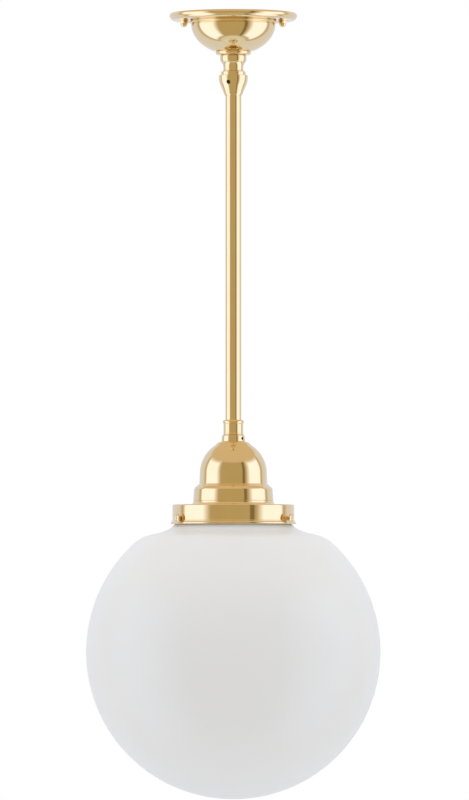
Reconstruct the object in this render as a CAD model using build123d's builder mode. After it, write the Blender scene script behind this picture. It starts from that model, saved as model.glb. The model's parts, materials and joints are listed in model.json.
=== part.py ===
from build123d import *
import os
from math import asin, cos, degrees, radians, sin, sqrt

os.makedirs("parts", exist_ok=True)

# A rod pendant ceiling light: canopy, ball swivel, rod, bell, gallery ring and opal globe.
# Millimetres. The origin is the centre of the ceiling plane and +Z is up, so everything
# hangs below z = 0. The front of the light faces -Y.

# ---------------------------------------------------------------- driving dimensions

# Ceiling canopy, spun from brass sheet.
sheet = 1.2
rim_radius = 54.4
rim_wall = 1.5
rim_height = 6.1
rim_fillet = 2.4
bead_radius = 37.0
bowl_radius = 36.0
bowl_top_z = -8.6
bowl_depth = 26.4
canopy_seat_z = -31.8
canopy_floor_z = canopy_seat_z + sheet

# Mounting bar and the two studs that carry the canopy.
bar_thickness = 1.6
bar_length = 96.0
bar_width = 14.0
ceiling_slot_spacing = 52.0
ceiling_slot_length = 12.0
ceiling_slot_width = 4.5
stud_x = 42.0
stud_radius = 2.0
stud_end_z = -10.2

# Swivel: everything about the ball shares one centre.
ball_z = -58.2
ball_radius = 7.6
seat_gap = 0.05
seat_thickness = 0.7
socket_radius = ball_radius + seat_thickness + 2 * seat_gap
neck_top_z = -22.0
neck_ring_z = -35.3
neck_foot_z = -50.0
stem_radius = 4.0
wire_bore = 3.0
thread_radius = 5.0
cup_mouth_z = -52.6
cup_foot_z = -69.9
ring_top_z = -49.6
ring_foot_z = -56.6
ring_floor_z = -51.7

# Rod and the fittings at its lower end.
rod_radius = 6.75
rod_bore = 5.5
rod_top_z = -64.6
rod_foot_z = -356.6
coupler_top_z = -346.0
sleeve_radius = 8.35
collar_top_z = -359.0
collar_radius = 10.1

# Bell: a dome on two steps.
bell_sheet = 1.0
bell_top_z = -364.6
bell_crown_radius = 11.5
bell_centre_z = -391.5
bell_dome_radius = 28.5
bell_wall_radius = 28.9
bell_wall_z = -400.2
bell_step_radius = 33.4
bell_step_z = -405.2
bell_groove_radius = 34.1
bell_groove_z = -414.8
bell_foot_radius = 35.4
bell_foot_z = -418.0
bell_opening = 25.4
bell_plate = 1.2
bell_screw_ring = 28.6

# Gallery ring that holds the glass, for glass with a 100 mm fitter.
gallery_sheet = 1.4
gallery_radius = 51.8
gallery_corner = 1.2
gallery_bore = 50.2
gallery_lip_radius = 53.4
gallery_foot_z = -434.7
thumbscrew_z = -429.9
thumbscrew_radius = 2.0
thumbscrew_angles = {"left": 210, "right": 330, "back": 90}
thumbscrew_backed_off = {"left": 0.0, "right": 1.8, "back": 0.9}
screw_tip_radius = 46.6

# Opal globe.
globe_radius = 125.0
globe_z = -543.2
glass = 3.0
glass_neck_radius = 46.4
glass_lip_radius = 48.5
glass_top_z = -420.6

# E27 lampholder and bulb.
holder_radius = 19.6
holder_sheet = 1.0
holder_top_z = -368.8
insert_top_z = -384.0
insert_floor_z = -388.5
bulb_tip_z = -391.4
bulb_cap_radius = 13.1
bulb_radius = 30.0
bulb_z = -466.4

# Leads.
lead_radius = 1.1
lead_ring = 1.35
lead_gap = 0.5
lead_angles = {"live": 210, "neutral": 330, "earth": 90}

running_fit = 0.05


# ---------------------------------------------------------------- shared shapes


def half_section(*outline):
    """Closed outline in the XZ plane, to be turned about Z."""
    with BuildSketch(Plane.XZ) as section:
        with BuildLine():
            Polyline(*outline, close=True)
        make_face()
    return section.sketch


def tube(bore, radius, bottom, top):
    """Round tube or washer on the Z axis."""
    with BuildPart() as made:
        with BuildSketch(Plane.XY.offset(bottom)):
            Circle(radius)
            Circle(bore, mode=Mode.SUBTRACT)
        extrude(amount=top - bottom)
    return made


def hex_nuts(places, bore, across_flats, bottom, top):
    """Plain hexagon nuts at the given (x, y) places."""
    with BuildPart() as made:
        with BuildSketch(Plane.XY.offset(bottom)):
            with Locations(*places):
                RegularPolygon(across_flats / 2, 6, major_radius=False)
                Circle(bore, mode=Mode.SUBTRACT)
        extrude(amount=top - bottom)
    return made


def around(radius, angles):
    """Points at one radius about the Z axis."""
    return [(radius * cos(radians(a)), radius * sin(radians(a))) for a in angles]


def radial_plane(radius, angle, z):
    """Plane whose normal points outward from the Z axis at an angle."""
    x, y = around(radius, [angle])[0]
    return Plane(
        origin=(x, y, z),
        x_dir=(-sin(radians(angle)), cos(radians(angle)), 0),
        z_dir=(cos(radians(angle)), sin(radians(angle)), 0),
    )


def sphere_point(radius, elevation):
    """(radius, z) of a point on a sphere about the ball's centre."""
    return (
        radius * cos(radians(elevation)),
        ball_z + radius * sin(radians(elevation)),
    )


def wire(route, bends):
    """Round lead along straight runs joined by tangent arcs."""
    with BuildPart() as made:
        with BuildLine() as path:
            FilletPolyline(*route, radius=bends)
        with BuildSketch(Plane(origin=path.line @ 0, z_dir=path.line % 0)):
            Circle(lead_radius)
        sweep(path=path.line)
    return made


# ---------------------------------------------------------------- ceiling canopy

seat_angle = degrees(asin((bowl_top_z - canopy_seat_z) / bowl_depth))
floor_angle = degrees(asin((bowl_top_z - canopy_floor_z) / (bowl_depth - sheet)))

with BuildPart() as canopy_shell:
    with BuildSketch(Plane.XZ):
        with BuildLine():
            bowl = EllipticalCenterArc(
                (0, bowl_top_z), bowl_radius, bowl_depth, 0, arc_size=-seat_angle
            )
            Polyline(
                bowl @ 1,
                (thread_radius + 0.2, canopy_seat_z),
                (thread_radius + 0.2, canopy_floor_z),
            )
            inside = EllipticalCenterArc(
                (0, bowl_top_z),
                bowl_radius - sheet,
                bowl_depth - sheet,
                0,
                arc_size=-floor_angle,
            )
            Line((thread_radius + 0.2, canopy_floor_z), inside @ 1)
            Polyline(
                inside @ 0,
                (bowl_radius - sheet, sheet - rim_height),
                (rim_radius - rim_wall, sheet - rim_height),
                (rim_radius - rim_wall, 0),
                (rim_radius - 1.0, 0),
            )
            RadiusArc((rim_radius - 1.0, 0), (rim_radius, -1.0), 1.0)
            Line((rim_radius, -1.0), (rim_radius, rim_fillet - rim_height))
            RadiusArc(
                (rim_radius, rim_fillet - rim_height),
                (rim_radius - rim_fillet, -rim_height),
                rim_fillet,
            )
            Line((rim_radius - rim_fillet, -rim_height), (bead_radius - 0.4, -rim_height))
            ThreePointArc(
                (bead_radius - 0.4, -rim_height),
                (bead_radius, (bowl_top_z - rim_height) / 2),
                bowl @ 0,
            )
        make_face()
    revolve(axis=Axis.Z)
    with Locations((stud_x, 0, -rim_height), (-stud_x, 0, -rim_height)):
        Cylinder(stud_radius + 0.4, 3 * sheet, mode=Mode.SUBTRACT)

stud_places = [(-stud_x, 0), (stud_x, 0)]
tab_y = 17.0
fixing_x = -4.5

with BuildPart() as mounting_bar:
    with BuildSketch(Plane.XY.offset(-bar_thickness)):
        RectangleRounded(bar_length, bar_width, 3)
        with Locations((0, (tab_y + 9) / 2)):
            RectangleRounded(20, tab_y + 9, 2)
        with Locations(*stud_places):
            Circle(stud_radius + running_fit, mode=Mode.SUBTRACT)
        with Locations((-ceiling_slot_spacing / 2, 0), (ceiling_slot_spacing / 2, 0)):
            SlotOverall(ceiling_slot_length, ceiling_slot_width, mode=Mode.SUBTRACT)
        with Locations((fixing_x, tab_y)):
            Circle(1.5 + running_fit, mode=Mode.SUBTRACT)
    extrude(amount=bar_thickness)

with BuildPart() as bar_studs:
    with BuildSketch(Plane.XY.offset(stud_end_z)):
        with Locations(*stud_places):
            Circle(stud_radius)
    extrude(amount=-stud_end_z - 0.1)
    chamfer(bar_studs.faces().sort_by(Axis.Z)[:2].edges(), 0.4)

stud_nuts = hex_nuts(stud_places, stud_radius + running_fit, 7.0, -3.8, -bar_thickness)

cap_nut_height = 5.6
cap_nut_top_z = -rim_height


def domed_cap_nut(x):
    """Hexagon nut with a closed dome, for an M4 stud."""
    hex_foot_z = cap_nut_top_z - 2.2
    tip_z = cap_nut_top_z - cap_nut_height
    dome_radius = 2.9
    with BuildPart() as made:
        with BuildSketch(Plane.XY.offset(hex_foot_z)):
            with Locations((x, 0)):
                RegularPolygon(3.5, 6, major_radius=False)
        extrude(amount=cap_nut_top_z - hex_foot_z)
        with BuildSketch(Plane.XZ.shift_origin((x, 0, 0))):
            with BuildLine():
                Polyline(
                    (0, tip_z),
                    (0, hex_foot_z + 0.5),
                    (dome_radius, hex_foot_z + 0.5),
                    (dome_radius, tip_z + dome_radius),
                )
                CenterArc((0, tip_z + dome_radius), dome_radius, 0, -90)
            make_face()
        revolve(axis=Axis((x, 0, 0), (0, 0, 1)))
        with Locations((x, 0, (cap_nut_top_z + stud_end_z) / 2 - 0.15)):
            Cylinder(
                stud_radius + running_fit,
                cap_nut_top_z - stud_end_z + 0.3,
                mode=Mode.SUBTRACT,
            )
    return made


cap_nut_left = domed_cap_nut(-stud_x)
cap_nut_right = domed_cap_nut(stud_x)

# ---------------------------------------------------------------- terminal block

housing_top_z = -bar_thickness
housing_height = 11.0
pole_z = housing_top_z - housing_height / 2
pole_pitch = 9.0
pole_xs = [-pole_pitch, 0, pole_pitch]
housing_y = (tab_y - 8, tab_y + 8)
tube_radius = 2.5
tube_bore = 1.5
screw_ys = (tab_y - 4.6, tab_y + 4.6)
screw_places = [(x, y) for x in pole_xs for y in screw_ys]

with BuildPart() as terminal_housing:
    with BuildSketch(Plane.XY.offset(housing_top_z)):
        with Locations((0, tab_y)):
            RectangleRounded(27, housing_y[1] - housing_y[0], 1.2)
    extrude(amount=-housing_height)
    with BuildSketch(Plane.XZ.offset(-housing_y[1])):
        with Locations(*[(x, pole_z) for x in pole_xs]):
            Circle(tube_radius + running_fit)
    extrude(amount=housing_y[1] - housing_y[0], mode=Mode.SUBTRACT)
    with BuildSketch(Plane.XY.offset(housing_top_z - housing_height)):
        with Locations(*screw_places):
            Circle(1.9)
    extrude(amount=housing_height / 2, mode=Mode.SUBTRACT)
    with Locations((fixing_x, tab_y, pole_z)):
        Cylinder(1.6, 2 * housing_height, mode=Mode.SUBTRACT)

with BuildPart() as terminal_tubes:
    with BuildSketch(Plane.XZ.offset(-housing_y[1] + 0.5)):
        with Locations(*[(x, pole_z) for x in pole_xs]):
            Circle(tube_radius)
            Circle(tube_bore, mode=Mode.SUBTRACT)
    extrude(amount=housing_y[1] - housing_y[0] - 1)
    with BuildSketch(Plane.XY.offset(pole_z - 3)):
        with Locations(*screw_places):
            Circle(1.3 + running_fit)
    extrude(amount=3, mode=Mode.SUBTRACT)

with BuildPart() as terminal_screws:
    with BuildSketch(Plane.XY.offset(housing_top_z - housing_height + 0.6)):
        with Locations(*screw_places):
            Circle(1.3)
    extrude(amount=housing_height / 2 - 0.6 - 1.25)
    with Locations(*[(x, y, housing_top_z - housing_height + 0.6) for x, y in screw_places]):
        Box(2.8, 0.5, 1.2, mode=Mode.SUBTRACT)

with BuildPart() as terminal_fixing_screw:
    with BuildSketch(Plane.XY.offset(-0.2)):
        with Locations((fixing_x, tab_y)):
            Circle(1.5)
    extrude(amount=housing_top_z - housing_height + 0.2)
    with BuildSketch(Plane.XY.offset(housing_top_z - housing_height)):
        with Locations((fixing_x, tab_y)):
            Circle(2.7)
    extrude(amount=-1.8)
    with Locations((fixing_x, tab_y, housing_top_z - housing_height - 1.8)):
        Box(6, 0.7, 1.4, mode=Mode.SUBTRACT)

# ---------------------------------------------------------------- neck and its clamping

with BuildPart() as canopy_collar:
    with BuildSketch(Plane.XZ):
        with BuildLine():
            Polyline(
                (14.4, canopy_seat_z),
                (thread_radius + running_fit, canopy_seat_z),
                (thread_radius + running_fit, neck_ring_z),
                (13.6, neck_ring_z),
            )
            ThreePointArc(
                (13.6, neck_ring_z),
                (15.1, (canopy_seat_z + neck_ring_z) / 2),
                (14.4, canopy_seat_z),
            )
        make_face()
    revolve(axis=Axis.Z)

waist_radius = 8.45

with BuildPart() as neck:
    with BuildSketch(Plane.XZ):
        with BuildLine():
            Polyline(
                (wire_bore, ball_z),
                (wire_bore, neck_top_z),
                (thread_radius - 0.5, neck_top_z),
                (thread_radius, neck_top_z - 0.5),
                (thread_radius, neck_ring_z),
                (10.7, neck_ring_z),
            )
            RadiusArc((10.7, neck_ring_z), (11.2, neck_ring_z - 1.4), 1.8)
            Polyline(
                (11.2, neck_ring_z - 1.4),
                (11.2, neck_ring_z - 4.1),
                (10.9, neck_ring_z - 5.5),
                (10.4, neck_ring_z - 5.9),
                (10.4, neck_ring_z - 6.2),
            )
            ThreePointArc(
                (10.4, neck_ring_z - 6.2),
                (9.05, neck_ring_z - 8.2),
                (waist_radius, neck_ring_z - 11.2),
            )
            Polyline(
                (waist_radius, neck_ring_z - 11.2),
                (waist_radius, neck_foot_z + 0.4),
                (waist_radius - 0.4, neck_foot_z),
                (stem_radius, neck_foot_z),
                (stem_radius, ball_z),
                (wire_bore, ball_z),
            )
        make_face()
    revolve(axis=Axis.Z)

with BuildPart() as neck_washer:
    with BuildSketch(Plane.XY.offset(canopy_floor_z)):
        Circle(8.6)
        with PolarLocations(8.6, 16):
            Rectangle(1.2, 0.9, mode=Mode.SUBTRACT)
        Circle(thread_radius + running_fit, mode=Mode.SUBTRACT)
    extrude(amount=0.8)

neck_nut = hex_nuts(
    [(0, 0)], thread_radius + running_fit, 14.0, canopy_floor_z + 0.8, canopy_floor_z + 4.8
)

# ---------------------------------------------------------------- ball swivel

with BuildPart() as swivel_ball:
    with Locations((0, 0, ball_z)):
        Sphere(ball_radius)
    revolve(
        half_section(
            (0, ball_z),
            (stem_radius + running_fit, ball_z),
            (stem_radius + running_fit, ball_z + 2 * ball_radius),
            (0, ball_z + 2 * ball_radius),
        ),
        axis=Axis.Z,
        mode=Mode.SUBTRACT,
    )
    revolve(
        half_section(
            (0, ball_z),
            (wire_bore, ball_z),
            (wire_bore + 1.5, ball_z - ball_radius),
            (0, ball_z - ball_radius),
        ),
        axis=Axis.Z,
        mode=Mode.SUBTRACT,
    )


def ball_seat(low, high):
    """Spherical liner between two elevations above the ball's centre."""
    inner = ball_radius + seat_gap
    outer = inner + seat_thickness
    middle = (low + high) / 2
    with BuildPart() as made:
        with BuildSketch(Plane.XZ):
            with BuildLine():
                ThreePointArc(
                    sphere_point(inner, low), sphere_point(inner, middle), sphere_point(inner, high)
                )
                Line(sphere_point(inner, high), sphere_point(outer, high))
                ThreePointArc(
                    sphere_point(outer, high), sphere_point(outer, middle), sphere_point(outer, low)
                )
                Line(sphere_point(outer, low), sphere_point(inner, low))
            make_face()
        revolve(axis=Axis.Z)
    return made


upper_ball_seat = ball_seat(14, 44)
lower_ball_seat = ball_seat(-44, -18)

ring_thread_radius = 10.5
ring_mouth_radius = 9.9
ring_opening = 6.2
ring_seat_low = (sqrt(socket_radius**2 - (ring_foot_z - ball_z) ** 2), ring_foot_z)
ring_seat_high = (ring_opening, ball_z + sqrt(socket_radius**2 - ring_opening**2))

with BuildPart() as retaining_ring:
    with BuildSketch(Plane.XZ):
        with BuildLine():
            ThreePointArc(ring_seat_low, sphere_point(socket_radius, 27), ring_seat_high)
            Polyline(
                ring_seat_high,
                (ring_opening, ring_floor_z),
                (ring_mouth_radius, ring_floor_z),
                (ring_mouth_radius, ring_top_z),
                (ring_thread_radius, ring_top_z),
                (ring_thread_radius, ring_foot_z),
                ring_seat_low,
            )
        make_face()
    revolve(axis=Axis.Z)
    with Locations((0, 0, ring_top_z)):
        Box(3 * ring_thread_radius, 1.8, 3.8, mode=Mode.SUBTRACT)

cup_radius = 12.3
cup_seat_top = (sqrt(socket_radius**2 - 2.4**2), ball_z - 2.4)
cup_seat_foot = (6.1, ball_z - sqrt(socket_radius**2 - 6.1**2))
cup_screw_angle = 270 - 21
cup_screw_z = -58.9
cup_screw_radius = 1.6

with BuildPart() as swivel_cup:
    with BuildSketch(Plane.XZ):
        with BuildLine():
            Polyline(
                (ring_thread_radius + running_fit, cup_mouth_z),
                (cup_radius - 0.3, cup_mouth_z),
                (cup_radius, cup_mouth_z - 0.3),
                (cup_radius, cup_mouth_z - 1.9),
            )
            ThreePointArc(
                (cup_radius, cup_mouth_z - 1.9), (12.05, -57.7), (11.15, -60.8)
            )
            Polyline(
                (11.15, -60.8),
                (8.75, -66.3),
                (7.5, cup_foot_z + 0.5),
                (7.2, cup_foot_z),
                (rod_radius + running_fit, cup_foot_z),
                (rod_radius + running_fit, rod_top_z),
                (6.1, rod_top_z),
                cup_seat_foot,
            )
            ThreePointArc(cup_seat_foot, sphere_point(socket_radius, -30), cup_seat_top)
            Polyline(
                cup_seat_top,
                (8.9, cup_seat_top[1]),
                (8.9, ring_foot_z - 0.2),
                (ring_thread_radius + running_fit, ring_foot_z - 0.2),
                (ring_thread_radius + running_fit, cup_mouth_z),
            )
        make_face()
    revolve(axis=Axis.Z)
    with BuildSketch(radial_plane(6, cup_screw_angle, cup_screw_z)):
        Circle(cup_screw_radius + running_fit)
    extrude(amount=8, mode=Mode.SUBTRACT)


def grub_screw(angle, z, radius, inner, outer):
    """Headless slotted screw that points at the Z axis."""
    with BuildPart() as made:
        with BuildSketch(radial_plane(inner, angle, z)):
            Circle(radius)
        extrude(amount=outer - inner)
        with BuildSketch(radial_plane(outer - 0.9, angle, z)):
            Rectangle(0.55, 4 * radius, rotation=35)
        extrude(amount=1, mode=Mode.SUBTRACT)
    return made


cup_grub_screw = grub_screw(cup_screw_angle, cup_screw_z, cup_screw_radius, 8.2, 11.0)

# ---------------------------------------------------------------- rod, coupler and collar

rod_tube = tube(rod_bore, rod_radius, rod_foot_z, rod_top_z)

with BuildPart() as rod_coupler:
    with BuildSketch(Plane.XZ):
        with BuildLine():
            Polyline(
                (rod_radius + running_fit, coupler_top_z),
                (7.7, coupler_top_z),
            )
            ThreePointArc(
                (7.7, coupler_top_z), (9.0, coupler_top_z - 1.6), (sleeve_radius, coupler_top_z - 3.2)
            )
            Polyline(
                (sleeve_radius, coupler_top_z - 3.2),
                (sleeve_radius, collar_top_z + 0.5),
                (sleeve_radius - 0.4, collar_top_z),
                (thread_radius + running_fit, collar_top_z),
                (thread_radius + running_fit, rod_foot_z - 0.1),
                (rod_radius + running_fit, rod_foot_z - 0.1),
                (rod_radius + running_fit, coupler_top_z),
            )
        make_face()
    revolve(axis=Axis.Z)

collar_screw_angle = 270 + 51
collar_screw_z = -361.9
collar_screw_radius = 1.2

with BuildPart() as lock_collar:
    revolve(
        half_section(
            (thread_radius + running_fit, bell_top_z),
            (collar_radius - 0.2, bell_top_z),
            (collar_radius, bell_top_z + 0.4),
            (collar_radius - 0.5, collar_top_z - 0.4),
            (collar_radius - 0.9, collar_top_z),
            (thread_radius + running_fit, collar_top_z),
        ),
        axis=Axis.Z,
    )
    with BuildSketch(radial_plane(4, collar_screw_angle, collar_screw_z)):
        Circle(collar_screw_radius + running_fit)
    extrude(amount=8, mode=Mode.SUBTRACT)

lock_collar_screw = grub_screw(collar_screw_angle, collar_screw_z, collar_screw_radius, 5.2, 9.2)

# ---------------------------------------------------------------- bell

crown_angle = 58
bell_flat_z = bell_foot_z + bell_plate

with BuildPart() as bell:
    with BuildSketch(Plane.XZ):
        with BuildLine():
            dome = CenterArc((0, bell_centre_z), bell_dome_radius, 0, crown_angle)
            ThreePointArc(dome @ 1, (13.4, bell_top_z - 1.0), (bell_crown_radius, bell_top_z))
            Polyline(
                (bell_crown_radius, bell_top_z),
                (thread_radius + 0.2, bell_top_z),
                (thread_radius + 0.2, bell_top_z - bell_sheet),
                (bell_crown_radius - 0.5, bell_top_z - bell_sheet),
            )
            inside_dome = CenterArc(
                (0, bell_centre_z), bell_dome_radius - bell_sheet, 0, crown_angle
            )
            ThreePointArc(
                inside_dome @ 1,
                (12.9, bell_top_z - 2.0),
                (bell_crown_radius - 0.5, bell_top_z - bell_sheet),
            )
            Polyline(
                inside_dome @ 0,
                (bell_wall_radius - bell_sheet, bell_wall_z - 1.6),
                (bell_step_radius - bell_sheet, bell_step_z - 1.4),
                (bell_groove_radius - bell_sheet - 0.3, bell_groove_z),
                (bell_groove_radius - bell_sheet - 0.3, bell_flat_z),
                (bell_opening, bell_flat_z),
                (bell_opening, bell_foot_z),
                (bell_foot_radius, bell_foot_z),
            )
            ThreePointArc(
                (bell_foot_radius, bell_foot_z),
                (bell_groove_radius + 0.6, bell_foot_z + 1.0),
                (bell_groove_radius + 0.3, bell_groove_z - 0.6),
            )
            Polyline(
                (bell_groove_radius + 0.3, bell_groove_z - 0.6),
                (bell_groove_radius - 0.2, bell_groove_z - 0.4),
                (bell_groove_radius - 0.2, bell_groove_z),
                (bell_groove_radius, bell_groove_z + 0.2),
                (bell_step_radius, bell_step_z),
            )
            ThreePointArc(
                (bell_step_radius, bell_step_z),
                (bell_step_radius - 0.9, bell_step_z + 1.7),
                (bell_step_radius - 2.6, bell_step_z + 3.0),
            )
            Polyline(
                (bell_step_radius - 2.6, bell_step_z + 3.0),
                (bell_step_radius - 2.9, bell_step_z + 3.8),
                (bell_wall_radius + 0.6, bell_wall_z - 0.7),
                (bell_wall_radius, bell_wall_z),
                dome @ 0,
            )
        make_face()
    revolve(axis=Axis.Z)
    with BuildSketch(Plane.XY.offset(bell_foot_z)):
        with PolarLocations(bell_screw_ring, 3, start_angle=30):
            Circle(1.6)
    extrude(amount=bell_plate, mode=Mode.SUBTRACT)

# ---------------------------------------------------------------- gallery ring

gallery_screw_angles = [30, 150, 270]
gallery_screw_places = around(bell_screw_ring, gallery_screw_angles)

with BuildPart() as gallery_ring:
    with BuildSketch(Plane.XZ):
        with BuildLine():
            Polyline(
                (gallery_radius - gallery_corner, bell_foot_z),
                (bell_opening, bell_foot_z),
                (bell_opening, bell_foot_z - gallery_sheet),
                (gallery_bore, bell_foot_z - gallery_sheet),
                (gallery_bore, gallery_foot_z),
                (gallery_lip_radius - 0.5, gallery_foot_z),
                (gallery_lip_radius, gallery_foot_z + 0.5),
                (gallery_lip_radius, gallery_foot_z + 1.4),
                (gallery_radius + 0.6, gallery_foot_z + 2.3),
                (gallery_radius + 0.5, gallery_foot_z + 2.9),
                (gallery_radius, gallery_foot_z + 3.3),
                (gallery_radius, bell_foot_z - gallery_corner),
            )
            RadiusArc(
                (gallery_radius, bell_foot_z - gallery_corner),
                (gallery_radius - gallery_corner, bell_foot_z),
                -gallery_corner,
            )
        make_face()
    revolve(axis=Axis.Z)
    with BuildSketch(Plane.XY.offset(bell_foot_z - gallery_sheet)):
        with Locations(*gallery_screw_places):
            Circle(1.6)
    extrude(amount=gallery_sheet, mode=Mode.SUBTRACT)
    for angle in thumbscrew_angles.values():
        with BuildSketch(radial_plane(gallery_bore - 4, angle, thumbscrew_z)):
            Circle(thumbscrew_radius + running_fit)
        extrude(amount=8, mode=Mode.SUBTRACT)

gallery_nuts = hex_nuts(gallery_screw_places, 1.55, 5.5, bell_flat_z, bell_flat_z + 2.4)

with BuildPart() as gallery_screws:
    with BuildSketch(Plane.XY.offset(bell_foot_z - gallery_sheet)):
        with Locations(*gallery_screw_places):
            Circle(1.5)
    extrude(amount=gallery_sheet + 4.2)
    with BuildSketch(Plane.XY.offset(bell_foot_z - gallery_sheet)):
        with Locations(*gallery_screw_places):
            Circle(2.7)
    extrude(amount=-1.8)
    with Locations(*[(x, y, bell_foot_z - gallery_sheet - 1.8) for x, y in gallery_screw_places]):
        Box(6, 0.7, 1.4, mode=Mode.SUBTRACT)

head_radius = 4.0
head_length = 3.9


def thumbscrew(side):
    """Waisted thumbscrew through the gallery wall, drawn along its own radius."""
    angle = thumbscrew_angles[side]
    tip = screw_tip_radius + thumbscrew_backed_off[side]
    waist_start = gallery_radius + thumbscrew_backed_off[side] + 0.2
    head_end = waist_start + head_length
    across = Plane(
        origin=(0, 0, thumbscrew_z),
        x_dir=(cos(radians(angle)), sin(radians(angle)), 0),
        z_dir=(-sin(radians(angle)), cos(radians(angle)), 0),
    )
    with BuildPart() as made:
        with BuildSketch(across):
            with BuildLine():
                Polyline(
                    (head_end, 0),
                    (tip, 0),
                    (tip, thumbscrew_radius - 0.5),
                    (tip + 0.5, thumbscrew_radius),
                    (waist_start, thumbscrew_radius),
                )
                ThreePointArc(
                    (waist_start, thumbscrew_radius),
                    (waist_start + 1.3, thumbscrew_radius + 0.4),
                    (waist_start + 2.3, head_radius - 0.3),
                )
                Polyline(
                    (waist_start + 2.3, head_radius - 0.3),
                    (waist_start + 2.6, head_radius),
                    (head_end - 0.9, head_radius),
                    (head_end - 0.3, head_radius - 0.8),
                    (head_end, 0),
                )
            make_face()
        revolve(axis=Axis((0, 0, thumbscrew_z), across.x_dir))
    return made


thumbscrew_left = thumbscrew("left")
thumbscrew_right = thumbscrew("right")
thumbscrew_back = thumbscrew("back")

# ---------------------------------------------------------------- opal globe

shoulder_radius = 83.0
shoulder_angle = asin(sqrt(globe_radius**2 - shoulder_radius**2) / globe_radius)


def shell_point(radius):
    """(radius, z) on a sphere about the globe's centre, on the shoulder's line."""
    return (radius * cos(shoulder_angle), globe_z + radius * sin(shoulder_angle))


shoulder_rise = (-sin(shoulder_angle), cos(shoulder_angle))
shoulder_end = (50.0, -435.2)
neck_low_z = -431.0
neck_inside = glass_neck_radius - glass
inner_radius = globe_radius - glass
shell_low = globe_z - globe_radius

with BuildPart() as opal_globe:
    with BuildSketch(Plane.XZ):
        with BuildLine():
            outer_shoulder = TangentArc(
                shell_point(globe_radius), shoulder_end, tangent=shoulder_rise
            )
            TangentArc(
                shoulder_end, (glass_neck_radius, neck_low_z), tangent=outer_shoulder % 1
            )
            Polyline(
                (glass_neck_radius, neck_low_z),
                (glass_neck_radius, -427.7),
                (glass_lip_radius, -426.4),
                (glass_lip_radius, glass_top_z - 1.2),
                (glass_lip_radius - 1.2, glass_top_z),
                (neck_inside + 0.6, glass_top_z),
                (neck_inside, glass_top_z - 0.6),
                (neck_inside, neck_low_z),
            )
            rise = outer_shoulder % 1
            inside_end = outer_shoulder @ 1 + Vector(-rise.Y, rise.X) * glass
            TangentArc(inside_end, (neck_inside, neck_low_z), tangent=rise)
            TangentArc(shell_point(inner_radius), inside_end, tangent=shoulder_rise)
            ThreePointArc(
                shell_point(inner_radius), (inner_radius, globe_z), (0, shell_low + glass)
            )
            Line((0, shell_low + glass), (0, shell_low))
            ThreePointArc((0, shell_low), (globe_radius, globe_z), shell_point(globe_radius))
        make_face()
    revolve(axis=Axis.Z)

# ---------------------------------------------------------------- lampholder

holder_nipple = tube(3.6, thread_radius, -374.0, -355.0)
nipple_nut = hex_nuts(
    [(0, 0)], thread_radius + running_fit, 14.0, bell_top_z - bell_sheet - 3, bell_top_z - bell_sheet
)

with BuildPart() as holder_cap:
    with BuildSketch(Plane.XZ):
        with BuildLine():
            Polyline(
                (thread_radius + running_fit, -374.6),
                (thread_radius + running_fit, holder_top_z),
                (8.0, holder_top_z),
                (8.0, -373.4),
            )
            ThreePointArc((8.0, -373.4), (16.6, -376.4), (holder_radius, -381.4))
            Polyline(
                (holder_radius, -381.4),
                (holder_radius, -388.0),
                (holder_radius - holder_sheet, -388.0),
                (holder_radius - holder_sheet, -381.6),
            )
            ThreePointArc(
                (holder_radius - holder_sheet, -381.6), (15.9, -377.3), (8.0, -374.6)
            )
            Line((8.0, -374.6), (thread_radius + running_fit, -374.6))
        make_face()
    revolve(axis=Axis.Z)

with BuildPart() as holder_body:
    revolve(
        half_section(
            (holder_radius - holder_sheet, -388.0),
            (holder_radius, -388.0),
            (holder_radius, -416.2),
            (holder_radius - 0.8, -417.0),
            (15.2, -417.0),
            (15.2, -416.0),
            (holder_radius - holder_sheet, -416.0),
        ),
        axis=Axis.Z,
    )

terminal_radius = 11.5
terminal_places = around(terminal_radius, lead_angles.values())

with BuildPart() as holder_insert:
    revolve(
        half_section(
            (0, insert_top_z),
            (18.4, insert_top_z),
            (18.4, -415.0),
            (14.4, -415.0),
            (14.4, insert_floor_z),
            (0, insert_floor_z),
        ),
        axis=Axis.Z,
    )

with BuildPart() as holder_shell:
    revolve(
        half_section(
            (13.5, -392.5),
            (14.3, -392.5),
            (14.3, -413.8),
            (13.5, -413.8),
        ),
        axis=Axis.Z,
    )

with BuildPart() as holder_contact:
    with BuildSketch(Plane.XZ.offset(-2.5)):
        with BuildLine():
            Polyline(
                (-10.0, insert_floor_z),
                (-2.0, insert_floor_z),
                (2.5, insert_floor_z - 2.0),
                (6.5, insert_floor_z - 2.0),
                (6.5, insert_floor_z - 2.6),
                (2.2, insert_floor_z - 2.6),
                (-2.3, insert_floor_z - 0.6),
                (-10.0, insert_floor_z - 0.6),
                close=True,
            )
        make_face()
    extrude(amount=5)

block_top_z = insert_top_z + 4.0

with BuildPart() as holder_terminals:
    for angle in lead_angles.values():
        with BuildSketch(radial_plane(terminal_radius - 2.2, angle, insert_top_z + 2.0)):
            Rectangle(5.0, 4.0)
            Circle(lead_radius + 0.2, mode=Mode.SUBTRACT)
        extrude(amount=4.4)
    with BuildSketch(Plane.XY.offset(insert_top_z + 2.0)):
        with Locations(*terminal_places):
            Circle(1.2 + running_fit)
    extrude(amount=2.0, mode=Mode.SUBTRACT)

with BuildPart() as holder_terminal_screws:
    with BuildSketch(Plane.XY.offset(insert_top_z + 3.3)):
        with Locations(*terminal_places):
            Circle(1.2)
    extrude(amount=1.5)

# ---------------------------------------------------------------- bulb

cap_low_z = -417.6

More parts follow.
